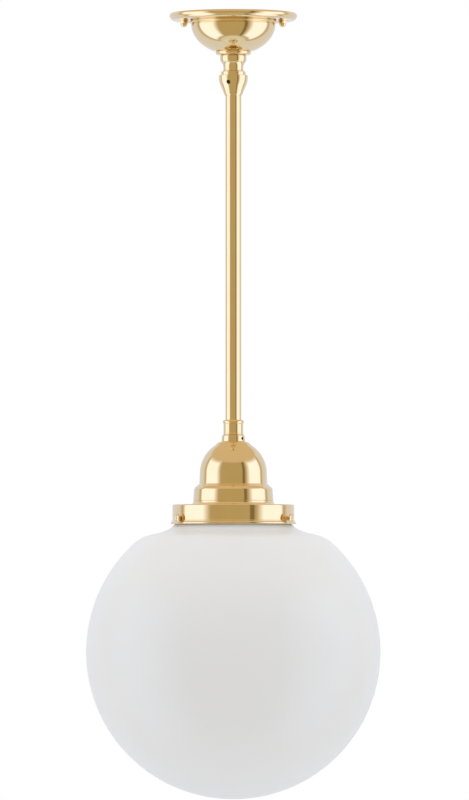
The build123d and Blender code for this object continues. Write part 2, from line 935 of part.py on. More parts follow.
with BuildPart() as bulb_cap:
    revolve(
        half_section(
            (bulb_cap_radius - 0.4, -395.2),
            (bulb_cap_radius, -395.6),
            (bulb_cap_radius, cap_low_z),
            (bulb_cap_radius - 0.4, cap_low_z),
            (bulb_cap_radius - 0.4, -396.0),
            (10.4, -393.4),
            (10.4, -392.9),
        ),
        axis=Axis.Z,
    )

with BuildPart() as bulb_insulator:
    revolve(
        half_section(
            (0, -392.4),
            (6.0, -392.4),
            (10.3, -393.0),
            (10.3, -393.5),
            (6.0, -394.4),
            (0, -394.4),
        ),
        axis=Axis.Z,
    )

with BuildPart() as bulb_tip:
    revolve(
        half_section((0, bulb_tip_z), (3.6, bulb_tip_z), (4.6, -392.0), (4.6, -392.4), (0, -392.4)),
        axis=Axis.Z,
    )

bulb_glass_wall = 0.8

bulb_shoulder = radians(40)
bulb_rise = (-sin(bulb_shoulder), cos(bulb_shoulder))
bulb_neck_low = (12.4, -424.0)
bulb_neck_top_z = -411.0


def bulb_outline(radius, neck):
    """Half section of a bulb: round below, with a shoulder that rises into the neck."""
    shoulder = (radius * cos(bulb_shoulder), bulb_z + radius * sin(bulb_shoulder))
    with BuildSketch(Plane.XZ) as section:
        with BuildLine():
            ThreePointArc((0, bulb_z - radius), (radius, bulb_z), shoulder)
            TangentArc(shoulder, neck, tangent=bulb_rise)
            Polyline(
                neck, (neck[0] - 0.2, bulb_neck_top_z), (0, bulb_neck_top_z), (0, bulb_z - radius)
            )
        make_face()
    return section.sketch


with BuildPart() as bulb_glass:
    revolve(bulb_outline(bulb_radius, bulb_neck_low), axis=Axis.Z)
    revolve(
        bulb_outline(
            bulb_radius - bulb_glass_wall, (bulb_neck_low[0] - bulb_glass_wall, bulb_neck_low[1])
        ),
        axis=Axis.Z,
        mode=Mode.SUBTRACT,
    )

with BuildPart() as bulb_stem:
    revolve(
        half_section(
            (0, -411.5),
            (11.2, -411.5),
            (11.2, -413.0),
            (5.0, -417.0),
            (3.0, -424.0),
            (2.4, -446.0),
            (0, -446.0),
        ),
        axis=Axis.Z,
    )

with BuildPart() as bulb_filaments:
    with BuildSketch(Plane.XY.offset(-482.0)):
        with PolarLocations(9.0, 4, start_angle=45):
            Circle(0.8)
    extrude(amount=38.0)

# ---------------------------------------------------------------- leads


def upper_lead(name, pole_x):
    """Lead from its pole in the block, over the neck's end, down to the ball's centre."""
    x, y = around(lead_ring, [lead_angles[name]])[0]
    return wire(
        [
            (x, y, ball_z + lead_gap),
            (x, y, neck_top_z + 5),
            (0.8 * pole_x, housing_y[0] - 6, pole_z - 1.2),
            (pole_x, housing_y[0] - 2.4, pole_z),
            (pole_x, housing_y[0] + 5.4, pole_z),
        ],
        [4.0, 2.2, 2.2],
    )


def lower_lead(name):
    """Lead from the ball's centre down the rod and nipple to its terminal."""
    angle = lead_angles[name]
    route = [
        (lead_ring, ball_z - lead_gap),
        (lead_ring, -373.5),
        (4.6, -379.0),
        (7.0, insert_top_z + 2.0),
        (terminal_radius - 0.5, insert_top_z + 2.0),
    ]
    return wire([(*around(r, [angle])[0], z) for r, z in route], [4.0, 2.5, 2.5])


live_lead_upper = upper_lead("live", -pole_pitch)
neutral_lead_upper = upper_lead("neutral", pole_pitch)
earth_lead_upper = upper_lead("earth", 0)
live_lead_lower = lower_lead("live")
neutral_lead_lower = lower_lead("neutral")
earth_lead_lower = lower_lead("earth")

# ---------------------------------------------------------------- files

pieces = {
    "canopy_shell": canopy_shell,
    "mounting_bar": mounting_bar,
    "bar_studs": bar_studs,
    "stud_nuts": stud_nuts,
    "cap_nut_left": cap_nut_left,
    "cap_nut_right": cap_nut_right,
    "terminal_housing": terminal_housing,
    "terminal_tubes": terminal_tubes,
    "terminal_screws": terminal_screws,
    "terminal_fixing_screw": terminal_fixing_screw,
    "canopy_collar": canopy_collar,
    "neck": neck,
    "neck_washer": neck_washer,
    "neck_nut": neck_nut,
    "swivel_ball": swivel_ball,
    "upper_ball_seat": upper_ball_seat,
    "lower_ball_seat": lower_ball_seat,
    "retaining_ring": retaining_ring,
    "swivel_cup": swivel_cup,
    "cup_grub_screw": cup_grub_screw,
    "rod_tube": rod_tube,
    "rod_coupler": rod_coupler,
    "lock_collar": lock_collar,
    "lock_collar_screw": lock_collar_screw,
    "bell": bell,
    "gallery_ring": gallery_ring,
    "gallery_screws": gallery_screws,
    "gallery_nuts": gallery_nuts,
    "thumbscrew_left": thumbscrew_left,
    "thumbscrew_right": thumbscrew_right,
    "thumbscrew_back": thumbscrew_back,
    "opal_globe": opal_globe,
    "holder_nipple": holder_nipple,
    "nipple_nut": nipple_nut,
    "holder_cap": holder_cap,
    "holder_body": holder_body,
    "holder_insert": holder_insert,
    "holder_shell": holder_shell,
    "holder_contact": holder_contact,
    "holder_terminals": holder_terminals,
    "holder_terminal_screws": holder_terminal_screws,
    "bulb_cap": bulb_cap,
    "bulb_insulator": bulb_insulator,
    "bulb_tip": bulb_tip,
    "bulb_glass": bulb_glass,
    "bulb_stem": bulb_stem,
    "bulb_filaments": bulb_filaments,
    "live_lead_upper": live_lead_upper,
    "neutral_lead_upper": neutral_lead_upper,
    "earth_lead_upper": earth_lead_upper,
    "live_lead_lower": live_lead_lower,
    "neutral_lead_lower": neutral_lead_lower,
    "earth_lead_lower": earth_lead_lower,
}

for name, piece in pieces.items():
    piece.part.label = name
    export_step(piece.part, f"parts/{name}.step")
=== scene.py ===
import json
from math import asin, atan2, cos, degrees, hypot, pi, radians, sin, tan

import bmesh
import bpy
from mathutils import Matrix, Vector


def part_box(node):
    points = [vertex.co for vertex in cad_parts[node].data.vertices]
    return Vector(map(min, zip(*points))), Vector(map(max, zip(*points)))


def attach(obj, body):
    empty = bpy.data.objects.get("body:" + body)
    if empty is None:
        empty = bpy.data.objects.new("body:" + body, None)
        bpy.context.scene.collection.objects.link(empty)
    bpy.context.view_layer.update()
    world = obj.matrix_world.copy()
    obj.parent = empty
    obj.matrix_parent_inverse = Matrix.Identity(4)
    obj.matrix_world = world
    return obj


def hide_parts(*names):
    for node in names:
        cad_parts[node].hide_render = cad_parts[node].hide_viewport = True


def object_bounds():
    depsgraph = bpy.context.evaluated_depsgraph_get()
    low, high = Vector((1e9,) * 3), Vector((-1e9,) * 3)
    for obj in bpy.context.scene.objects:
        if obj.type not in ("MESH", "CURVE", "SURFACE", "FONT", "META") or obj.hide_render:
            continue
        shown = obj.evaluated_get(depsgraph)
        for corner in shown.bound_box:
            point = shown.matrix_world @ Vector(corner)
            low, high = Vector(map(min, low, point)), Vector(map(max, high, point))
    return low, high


# A polished brass rod pendant with an opal glass globe, in a plain studio.
# Outlines are (radius, height) in millimetres; mm turns them into the frame's metres.

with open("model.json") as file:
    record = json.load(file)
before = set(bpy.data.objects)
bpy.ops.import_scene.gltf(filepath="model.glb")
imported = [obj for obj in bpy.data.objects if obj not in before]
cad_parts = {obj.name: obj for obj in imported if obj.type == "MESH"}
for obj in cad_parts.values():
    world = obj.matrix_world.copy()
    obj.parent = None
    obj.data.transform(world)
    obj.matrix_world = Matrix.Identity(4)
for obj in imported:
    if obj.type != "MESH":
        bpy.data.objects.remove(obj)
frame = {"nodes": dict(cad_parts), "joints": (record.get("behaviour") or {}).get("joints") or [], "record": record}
mm = 0.001
cad_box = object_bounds()

# Radii that neighbouring pieces share, in millimetres.
seat_radius = 8.4
rod_bore = 6.8
nipple_bore, nipple_hole = 5.05, 5.2
bell_opening = 25.4


def reach(node):
    """Outer radius, lowest and highest z of a turned CAD node, in millimetres."""
    low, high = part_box(node)
    return high.x / mm, low.z / mm, high.z / mm


# ---------------------------------------------------------------- materials


def new_material(name, **sockets):
    """Material with one Principled shader; sockets are set by name, with _ for a space."""
    material = bpy.data.materials.new(name)
    material.use_nodes = True
    shader = material.node_tree.nodes["Principled BSDF"]
    for socket, value in sockets.items():
        shader.inputs[socket.replace("_", " ")].default_value = value
    return material, shader


def node(tree, kind, **settings):
    """New node; settings named in_X set input X, the others set properties."""
    made = tree.nodes.new(kind)
    for key, value in settings.items():
        if key.startswith("in_"):
            made.inputs[key[3:]].default_value = value
        else:
            setattr(made, key, value)
    return made


def noise(tree, vector, scale, detail=3.0, rough=0.55):
    """Noise between 0 and 1, with scale in features per metre."""
    made = node(tree, "ShaderNodeTexNoise", in_Scale=scale, in_Detail=detail, in_Roughness=rough)
    tree.links.new(vector, made.inputs["Vector"])
    return made.outputs["Fac"]


def spread(tree, value, low, high, start=0.3, stop=0.7):
    """Noise value mapped to a range."""
    made = node(tree, "ShaderNodeMapRange")
    made.inputs["From Min"].default_value = start
    made.inputs["From Max"].default_value = stop
    made.inputs["To Min"].default_value = low
    made.inputs["To Max"].default_value = high
    tree.links.new(value, made.inputs["Value"])
    return made.outputs["Result"]


def blend_colours(tree, factor, first, second):
    """Colour that runs from first to second with factor."""
    made = node(tree, "ShaderNodeMix", data_type="RGBA")
    made.inputs["A"].default_value = (*first, 1)
    made.inputs["B"].default_value = (*second, 1)
    tree.links.new(factor, made.inputs["Factor"])
    return made.outputs["Result"]


def object_place(tree):
    """Place on the object, in metres."""
    return node(tree, "ShaderNodeTexCoord").outputs["Object"]


def turned_place(tree, place):
    """(distance from the lamp's axis, 0, height): the same all round, as a lathe leaves it."""
    flat = node(tree, "ShaderNodeVectorMath", operation="MULTIPLY")
    flat.inputs[1].default_value = (1, 1, 0)
    tree.links.new(place, flat.inputs[0])
    away = node(tree, "ShaderNodeVectorMath", operation="LENGTH")
    tree.links.new(flat.outputs["Vector"], away.inputs[0])
    parts = node(tree, "ShaderNodeSeparateXYZ")
    tree.links.new(place, parts.inputs[0])
    joined = node(tree, "ShaderNodeCombineXYZ")
    tree.links.new(away.outputs["Value"], joined.inputs["X"])
    tree.links.new(parts.outputs["Z"], joined.inputs["Z"])
    return joined.outputs["Vector"]


def bumps(tree, shader, *layers):
    """Stack bump layers, each (height, depth in metres, strength), into the shader's normal."""
    below = None
    for height, depth, strength in layers:
        made = node(tree, "ShaderNodeBump", in_Distance=depth, in_Strength=strength)
        tree.links.new(height, made.inputs["Height"])
        if below:
            tree.links.new(below, made.inputs["Normal"])
        below = made.outputs["Normal"]
    tree.links.new(below, shader.inputs["Normal"])


def turned_metal(name, light, dark, smooth, rough, wave_depth, line_depth):
    """Metal turned on a lathe: slow waves in the sheet, fine rings, uneven polish."""
    material, shader = new_material(name, Metallic=1.0)
    tree = material.node_tree
    place = object_place(tree)
    rings = noise(tree, turned_place(tree, place), 2600, 2.0)
    waves = noise(tree, place, 34, 1.0)
    haze = noise(tree, place, 150, 4.0, 0.6)
    colour = blend_colours(tree, spread(tree, noise(tree, place, 60), 0, 1), light, dark)
    tree.links.new(colour, shader.inputs["Base Color"])
    tree.links.new(spread(tree, haze, smooth, rough), shader.inputs["Roughness"])
    bumps(tree, shader, (waves, wave_depth, 1.0), (rings, line_depth, 1.0))
    return material


def moulded(name, light, dark, rough, grain=900, depth=0.00004):
    """Plastic, porcelain or insulation: even colour, slight mottling and a fine skin."""
    material, shader = new_material(name)
    tree = material.node_tree
    place = object_place(tree)
    mottle = spread(tree, noise(tree, place, 220), 0, 1)
    tree.links.new(blend_colours(tree, mottle, light, dark), shader.inputs["Base Color"])
    skin = noise(tree, place, grain, 4.0)
    tree.links.new(spread(tree, skin, rough * 0.8, rough * 1.2), shader.inputs["Roughness"])
    bumps(tree, shader, (skin, depth, 0.5))
    return material


def plated_steel(name, light, dark, rough):
    """Zinc plate or black oxide: a patchy sheen over a fine tumbled grain."""
    material, shader = new_material(name, Metallic=1.0)
    tree = material.node_tree
    place = object_place(tree)
    patches = spread(tree, noise(tree, place, 260, 5.0, 0.7), 0, 1)
    tree.links.new(blend_colours(tree, patches, light, dark), shader.inputs["Base Color"])
    grain = noise(tree, place, 2400, 3.0)
    tree.links.new(spread(tree, grain, rough * 0.7, rough * 1.3), shader.inputs["Roughness"])
    bumps(tree, shader, (grain, 0.00002, 0.6))
    return material


def opal_glass():
    """Blown opal glass: milky body, satin gloss, and the slow unevenness of blown glass."""
    material, shader = new_material(
        "opal_glass",
        IOR=1.46,
        Subsurface_Weight=0.3,
        Subsurface_Radius=(1.0, 1.0, 1.0),
        Subsurface_Scale=0.012,
    )
    tree = material.node_tree
    place = object_place(tree)
    cloud = spread(tree, noise(tree, place, 9, 2.0), 0, 1)
    milk = blend_colours(tree, cloud, (0.720, 0.720, 0.718), (0.735, 0.735, 0.732))
    tree.links.new(milk, shader.inputs["Base Color"])
    haze = noise(tree, place, 40, 3.0)
    tree.links.new(spread(tree, haze, 0.30, 0.34), shader.inputs["Roughness"])
    bumps(tree, shader, (noise(tree, place, 14, 1.0), 0.00008, 1.0))
    return material


def clear_glass():
    """Thin clear bulb glass with a faint haze."""
    material, shader = new_material("clear_glass", IOR=1.5, Transmission_Weight=1.0)
    tree = material.node_tree
    place = object_place(tree)
    tint = spread(tree, noise(tree, place, 80), 0, 1)
    clear = blend_colours(tree, tint, (0.97, 0.98, 0.98), (0.94, 0.96, 0.96))
    tree.links.new(clear, shader.inputs["Base Color"])
    tree.links.new(spread(tree, noise(tree, place, 300), 0.02, 0.06), shader.inputs["Roughness"])
    return material


def striped_lead():
    """Earth lead: green with a yellow stripe that winds along it."""
    material, shader = new_material("green_lead", Roughness=0.45)
    tree = material.node_tree
    bands = node(tree, "ShaderNodeTexWave", in_Scale=90.0, in_Distortion=0.6)
    tree.links.new(object_place(tree), bands.inputs["Vector"])
    edge = spread(tree, bands.outputs["Fac"], 0, 1, 0.55, 0.6)
    colour = blend_colours(tree, edge, (0.05, 0.30, 0.04), (0.75, 0.62, 0.04))
    tree.links.new(colour, shader.inputs["Base Color"])
    return material


finishes = {
    "polished_brass": turned_metal(
        "polished_brass", (0.885, 0.720, 0.430), (0.868, 0.695, 0.405), 0.035, 0.075, 0.00005, 0.0000006
    ),
    "plain_brass": turned_metal(
        "plain_brass", (0.80, 0.56, 0.24), (0.70, 0.46, 0.18), 0.20, 0.34, 0.00002, 0.000006
    ),
    "nickel": turned_metal(
        "nickel", (0.72, 0.70, 0.66), (0.64, 0.62, 0.58), 0.12, 0.22, 0.00002, 0.000004
    ),
    "zinc_steel": plated_steel("zinc_steel", (0.66, 0.67, 0.68), (0.54, 0.55, 0.53), 0.30),
    "dark_steel": plated_steel("dark_steel", (0.10, 0.085, 0.07), (0.05, 0.04, 0.035), 0.32),
    "solder": plated_steel("solder", (0.62, 0.62, 0.61), (0.48, 0.48, 0.48), 0.36),
    "white_nylon": moulded("white_nylon", (0.86, 0.85, 0.80), (0.80, 0.79, 0.74), 0.42),
    "black_nylon": moulded("black_nylon", (0.030, 0.030, 0.030), (0.045, 0.045, 0.045), 0.48),
    "porcelain": moulded("porcelain", (0.88, 0.86, 0.80), (0.84, 0.82, 0.77), 0.14, 300, 0.00003),
    "black_glass": moulded("black_glass", (0.02, 0.02, 0.03), (0.03, 0.03, 0.04), 0.08, 200, 0.00002),
    "filament": moulded("filament", (0.93, 0.66, 0.16), (0.86, 0.56, 0.10), 0.55),
    "brown_lead": moulded("brown_lead", (0.115, 0.045, 0.018), (0.090, 0.034, 0.014), 0.40),
    "blue_lead": moulded("blue_lead", (0.020, 0.085, 0.330), (0.016, 0.065, 0.270), 0.40),
    "green_lead": striped_lead(),
    "opal_glass": opal_glass(),
    "clear_glass": clear_glass(),
}


def finish_cad_nodes():
    """Give every CAD node its slot's procedural material."""
    for part in frame["record"]["subparts"]:
        body = frame["nodes"][part["node"]]
        body.data.materials.clear()
        body.data.materials.append(finishes[part["material_slot"]])


# ---------------------------------------------------------------- outlines


def rounded(corners, steps=6):
    """Closed outline in which each corner (radius, z, fillet) becomes a small arc."""
    made = []
    for i, corner in enumerate(corners):
        point = Vector(corner[:2])
        if len(corner) < 3:
            made.append(tuple(point))
            continue
        before = Vector(corners[i - 1][:2]) - point
        after = Vector(corners[(i + 1) % len(corners)][:2]) - point
        half = before.angle(after) / 2
        cut = min(corner[2] / tan(half), 0.48 * before.length, 0.48 * after.length)
        start = point + before.normalized() * cut
        end = point + after.normalized() * cut
        middle = (before.normalized() + after.normalized()).normalized()
        centre = point + middle * cut / cos(half)
        made += arc(centre, start, end, steps)
    return made


def arc(centre, start, end, steps):
    """Points of the shorter arc about centre, from start to end."""
    first = atan2(start[1] - centre[1], start[0] - centre[0])
    last = atan2(end[1] - centre[1], end[0] - centre[0])
    turn = (last - first + pi) % (2 * pi) - pi
    radius = hypot(start[0] - centre[0], start[1] - centre[1])
    angles = [first + turn * k / steps for k in range(steps + 1)]
    return [(centre[0] + radius * cos(a), centre[1] + radius * sin(a)) for a in angles]


def oval(centre_z, across, down, first, last, steps):
    """Points of an ellipse about the axis, between two angles in degrees."""
    angles = [radians(first + (last - first) * k / steps) for k in range(steps + 1)]
    return [(across * cos(a), centre_z + down * sin(a)) for a in angles]


def curve(start, middle, end, steps=10):
    """Points of the circular arc through three points."""
    (ax, ay), (bx, by), (cx, cy) = start, middle, end
    d = 2 * (ax * (by - cy) + bx * (cy - ay) + cx * (ay - by))
    a2, b2, c2 = ax * ax + ay * ay, bx * bx + by * by, cx * cx + cy * cy
    ux = (a2 * (by - cy) + b2 * (cy - ay) + c2 * (ay - by)) / d
    uy = (a2 * (cx - bx) + b2 * (ax - cx) + c2 * (bx - ax)) / d
    return arc((ux, uy), start, end, steps)


# ---------------------------------------------------------------- mesh building


def lathe(name, outline, segments=160, place=Matrix.Identity(4), section=None):
    """Mesh object turned from a closed (radius, z) outline about the Z axis of place.

    section(radius, z, angle) may give another radius, for hexagons and knurls."""
    shape = bmesh.new()
    angles = [2 * pi * k / segments for k in range(segments)]
    rings = []
    for radius, z in outline:
        if radius < 1e-6:
            rings.append([shape.verts.new(place @ Vector((0, 0, z * mm)))])
            continue
        ring = []
        for a in angles:
            r = section(radius, z, a) if section else radius
            ring.append(shape.verts.new(place @ Vector((r * mm * cos(a), r * mm * sin(a), z * mm))))
        rings.append(ring)
    for lower, upper in zip(rings, rings[1:] + rings[:1]):
        for k in range(segments):
            corners = [lower[k % len(lower)], lower[(k + 1) % len(lower)]]
            corners += [upper[(k + 1) % len(upper)], upper[k % len(upper)]]
            corners = list(dict.fromkeys(corners))
            if len(corners) > 2:
                shape.faces.new(corners)
    return mesh_object(name, shape)


def mesh_object(name, shape):
    """Object from a bmesh, with its faces turned outward."""
    bmesh.ops.recalc_face_normals(shape, faces=shape.faces)
    mesh = bpy.data.meshes.new(name)
    shape.to_mesh(mesh)
    shape.free()
    made = bpy.data.objects.new(name, mesh)
    bpy.context.scene.collection.objects.link(made)
    return made


def cut(piece, *cutters):
    """Subtract cutters from a piece, then remove them."""
    for cutter in cutters:
        modifier = piece.modifiers.new("cut", "BOOLEAN")
        modifier.operation = "DIFFERENCE"
        modifier.solver = "EXACT"
        modifier.object = cutter
    bpy.context.view_layer.update()
    whole = piece.evaluated_get(bpy.context.evaluated_depsgraph_get())
    mesh = bpy.data.meshes.new_from_object(whole)
    piece.modifiers.clear()
    piece.data = mesh
    for cutter in cutters:
        bpy.data.objects.remove(cutter)


def pin(name, radius, near, far, angle, z):
    """Round cutter along a radius of the lamp, between two distances from its axis."""
    turn = Matrix.Rotation(radians(angle), 4, "Z") @ Matrix.Rotation(pi / 2, 4, "Y")
    place = Matrix.Translation((0, 0, z * mm)) @ turn
    return lathe(name, [(0, near), (radius, near), (radius, far), (0, far)], 32, place)


def dress(piece, node_name, body, slot):
    """Shade a piece, give it its finish, and let it stand for its CAD node."""
    mesh = piece.data
    mesh.polygons.foreach_set("use_smooth", [True] * len(mesh.polygons))
    mesh.set_sharp_from_angle(angle=radians(38))
    weights = piece.modifiers.new("flat faces lead", "WEIGHTED_NORMAL")
    weights.keep_sharp = True
    mesh.materials.clear()
    mesh.materials.append(finishes[slot])
    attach(piece, body)
    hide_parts(node_name)


# ---------------------------------------------------------------- canopy and swivel


def make_canopy():
    """Spun ceiling cup: rolled rim, flat flange, bead and oval bowl."""
    rim, seat, top = reach("canopy_shell")
    sheet = 1.2
    flange = top - 6.1
    bowl_top = flange - 2.5
    bowl, depth = 36.0, 26.4
    floor = seat + sheet
    outer_end = degrees(asin((bowl_top - seat) / depth))
    inner_end = degrees(asin((bowl_top - floor) / (depth - sheet)))
    bead = bowl + 1.1
    corners = [
        (rim - 1.9, top, 0.3),
        (rim - 1.1, top, 0.4),
        *curve((rim - 0.75, top - 0.4), (rim, top - 1.9), (rim - 0.75, flange + 2.2), 14),
        *curve((rim - 0.9, flange + 2.0), (rim - 1.7, flange + 0.8), (rim - 3.4, flange), 8)[1:],
        (bead - 0.6, flange, 0.4),
    ]
    corners += curve((bead - 0.55, flange - 0.2), (bead, flange - 1.0), (bead - 0.7, flange - 1.75), 10)
    corners += [
        (bowl - 0.25, bowl_top + 0.5, 0.1),
        (bowl - 0.3, bowl_top + 0.1, 0.1),
    ]
    corners += oval(bowl_top, bowl, depth, -1.2, -outer_end, 48)
    corners += [(nipple_hole, seat), (nipple_hole, floor)]
    corners += oval(bowl_top, bowl - sheet, depth - sheet, -inner_end, 0, 48)
    corners += [(bowl - sheet, flange + sheet, 0.4), (rim - 1.9, flange + sheet, 0.8)]
    piece = lathe("spun_canopy", rounded(corners), 224)
    dress(piece, "canopy_shell", "canopy", "polished_brass")


def hexagon(apothem, foot, top):
    """Section that makes the stretch between foot and top a hexagon."""

    def section(radius, z, angle):
        if foot <= z <= top:
            return min(radius, apothem / cos((angle + pi / 6) % (pi / 3) - pi / 6))
        return radius

    return section


def make_cap_nut(side):
    """Domed hexagon nut under the flange."""
    low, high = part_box(f"cap_nut_{side}")
    middle = (low + high) / 2
    foot, top = low.z / mm, high.z / mm
    hex_foot = top - 2.2
    apothem, dome = 3.5, 2.9
    corner = apothem / cos(pi / 6)
    corners = [(0, foot), *arc((0, foot + dome), (0, foot), (dome, foot + dome), 10)[1:]]
    corners += [
        (dome, hex_foot - 0.15),
        (dome + 0.2, hex_foot),
        (apothem + 0.1, hex_foot),
        (corner, hex_foot + 0.35),
        (corner, top - 0.35),
        (apothem + 0.1, top),
        (2.05, top),
        (2.05, top - 4.3),
        (0, top - 4.4),
    ]
    place = Matrix.Translation((middle.x, middle.y, 0))
    piece = lathe(f"domed_nut_{side}", corners, 96, place, hexagon(apothem, hex_foot, top))
    dress(piece, f"cap_nut_{side}", f"cap_nut_{side}", "polished_brass")


def make_collar():
    """Rounded ring that closes the joint between bowl and neck."""
    radius, foot, top = reach("canopy_collar")
    bulge = curve((radius - 1.5, foot), (radius, (foot + top) / 2), (radius - 0.8, top), 16)
    piece = lathe("rounded_collar", rounded([(nipple_bore, top), (nipple_bore, foot), *bulge]))
    dress(piece, "canopy_collar", "canopy", "polished_brass")


def make_neck():
    """Turned neck: ring, cove, waist and the stem that carries the ball."""
    radius, foot, top = reach("neck")
    ring = reach("canopy_collar")[1]
    waist_foot = ring - 14.7
    waist = 8.45
    corners = [
        (3.0, foot),
        (3.0, top),
        (5.0, top, 0.5),
        (5.0, ring),
        (10.9, ring, 0.8),
        (radius, ring - 1.4, 1.0),
        (radius, ring - 4.1, 0.6),
        (10.9, ring - 5.5, 0.5),
        (10.4, ring - 5.9, 0.2),
    ]
    corners += curve((10.4, ring - 6.2), (9.05, ring - 8.2), (waist, ring - 11.2), 12)
    corners += [
        (waist, waist_foot + 2.3),
        (waist + 0.25, waist_foot + 1.9, 0.2),
        (waist + 0.25, waist_foot + 0.9, 0.2),
        (waist - 0.1, waist_foot + 0.5, 0.1),
        (waist - 0.4, waist_foot, 0.2),
        (4.0, waist_foot),
        (4.0, foot),
    ]
    dress(lathe("turned_neck", rounded(corners)), "neck", "canopy", "polished_brass")


def make_retaining_ring():
    """Notched ring screwed into the mouth of the cup."""
    radius, foot, top = reach("retaining_ring")
    ball_z = ball_height()
    opening, mouth, dish = 6.2, 9.9, top - 2.1
    seat_low = (radius_at(seat_radius, foot - ball_z), foot)
    seat_high = (opening, ball_z + radius_at(seat_radius, opening))
    corners = arc((0, ball_z), seat_low, seat_high, 10)
    corners += [
        (opening, dish, 0.1),
        (mouth, dish, 0.1),
        (mouth, top, 0.12),
        (radius, top, 0.25),
        (radius, foot),
    ]
    piece = lathe("notched_ring", rounded(corners))
    notch = bmesh.new()
    bmesh.ops.create_cube(notch, size=1.0)
    bmesh.ops.scale(notch, vec=(3 * radius * mm, 1.8 * mm, 3.8 * mm), verts=notch.verts)
    bmesh.ops.translate(notch, vec=(0, 0, top * mm), verts=notch.verts)
    cut(piece, mesh_object("notch", notch))
    dress(piece, "retaining_ring", "pendant", "polished_brass")


def ball_height():
    """Height of the swivel ball's centre, in millimetres, from the swivel's joint."""
    joint = next(j for j in frame["joints"] if j["name"] == "swivel_turn")
    return joint["pos_m"][2] / mm


def radius_at(sphere, height):
    """Radius of a sphere's section at a height above its centre."""
    return (sphere * sphere - height * height) ** 0.5


def screw_line(node_name):
    """Angle about the axis, in degrees, and height of a radial screw, in millimetres."""
    low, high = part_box(node_name)
    middle = (low + high) / 2
    return degrees(atan2(middle.y, middle.x)), middle.z / mm


def make_cup():
    """Swivel cup: straight mouth, shoulder and cone down to the rod."""
    radius, foot, top = reach("swivel_cup")
    ball_z = ball_height()
    ring_foot = reach("retaining_ring")[1]
    thread = reach("retaining_ring")[0] + 0.05
    seat_top = (radius_at(seat_radius, 2.4), ball_z - 2.4)
    seat_foot = (6.1, ball_z - radius_at(seat_radius, 6.1))
    corners = [(thread, top), (radius, top, 0.45)]
    corners += curve((radius, top - 1.9), (radius - 0.25, top - 5.1), (radius - 1.15, top - 8.2), 14)
    corners += [
        (8.75, foot + 3.6, 4.0),
        (7.5, foot + 0.5, 0.6),
        (7.2, foot, 0.15),
        (rod_bore, foot),
        (rod_bore, foot + 5.3),
        (6.1, foot + 5.3),
    ]
    corners += arc((0, ball_z), seat_foot, seat_top, 12)
    corners += [(8.9, seat_top[1]), (8.9, ring_foot - 0.2), (thread, ring_foot - 0.2)]
    piece = lathe("swivel_cup_body", rounded(corners))
    angle, z = screw_line("cup_grub_screw")
    cut(piece, pin("cup_drill", 1.75, 7.0, 14.0, angle, z))
    dress(piece, "swivel_cup", "pendant", "polished_brass")


# ---------------------------------------------------------------- rod and bell


def make_rod():
    """Long straight tube."""
    radius, foot, top = reach("rod_tube")
    corners = [(5.5, foot), (radius, foot, 0.2), (radius, top, 0.2), (5.5, top)]
    dress(lathe("brass_rod", rounded(corners), 128), "rod_tube", "pendant", "polished_brass")


def make_coupler():
    """Sleeve at the rod's foot, with a bead at its top."""
    radius, foot, top = reach("rod_coupler")
    sleeve = 8.35
    bead = curve((7.6, top), (radius, top - 1.6), (sleeve - 0.1, top - 3.3), 14)
    corners = [(rod_bore, top), *bead]
    corners += [
        (sleeve, top - 3.4),
        (sleeve, foot + 1.6, 0.15),
        (sleeve + 0.25, foot + 1.3, 0.15),
        (sleeve + 0.25, foot + 0.3, 0.2),
        (sleeve - 0.2, foot),
        (nipple_bore, foot),
        (nipple_bore, foot + 2.3),
        (rod_bore, foot + 2.3),
    ]
    dress(lathe("rod_sleeve", rounded(corners), 144), "rod_coupler", "pendant", "polished_brass")


def make_lock_collar():
    """Tapered collar with a set screw, on top of the bell."""
    radius, foot, top = reach("lock_collar")
    corners = [
        (nipple_bore, foot),
        (radius - 0.2, foot, 0.1),
        (radius, foot + 0.4, 0.2),
        (radius - 0.5, top - 0.4, 0.3),
        (radius - 0.9, top, 0.2),
        (nipple_bore, top),
    ]
    piece = lathe("set_screw_collar", rounded(corners), 144)
    angle, z = screw_line("lock_collar_screw")
    cut(piece, pin("collar_drill", 1.3, 4.0, 12.0, angle, z))
    dress(piece, "lock_collar", "pendant", "polished_brass")


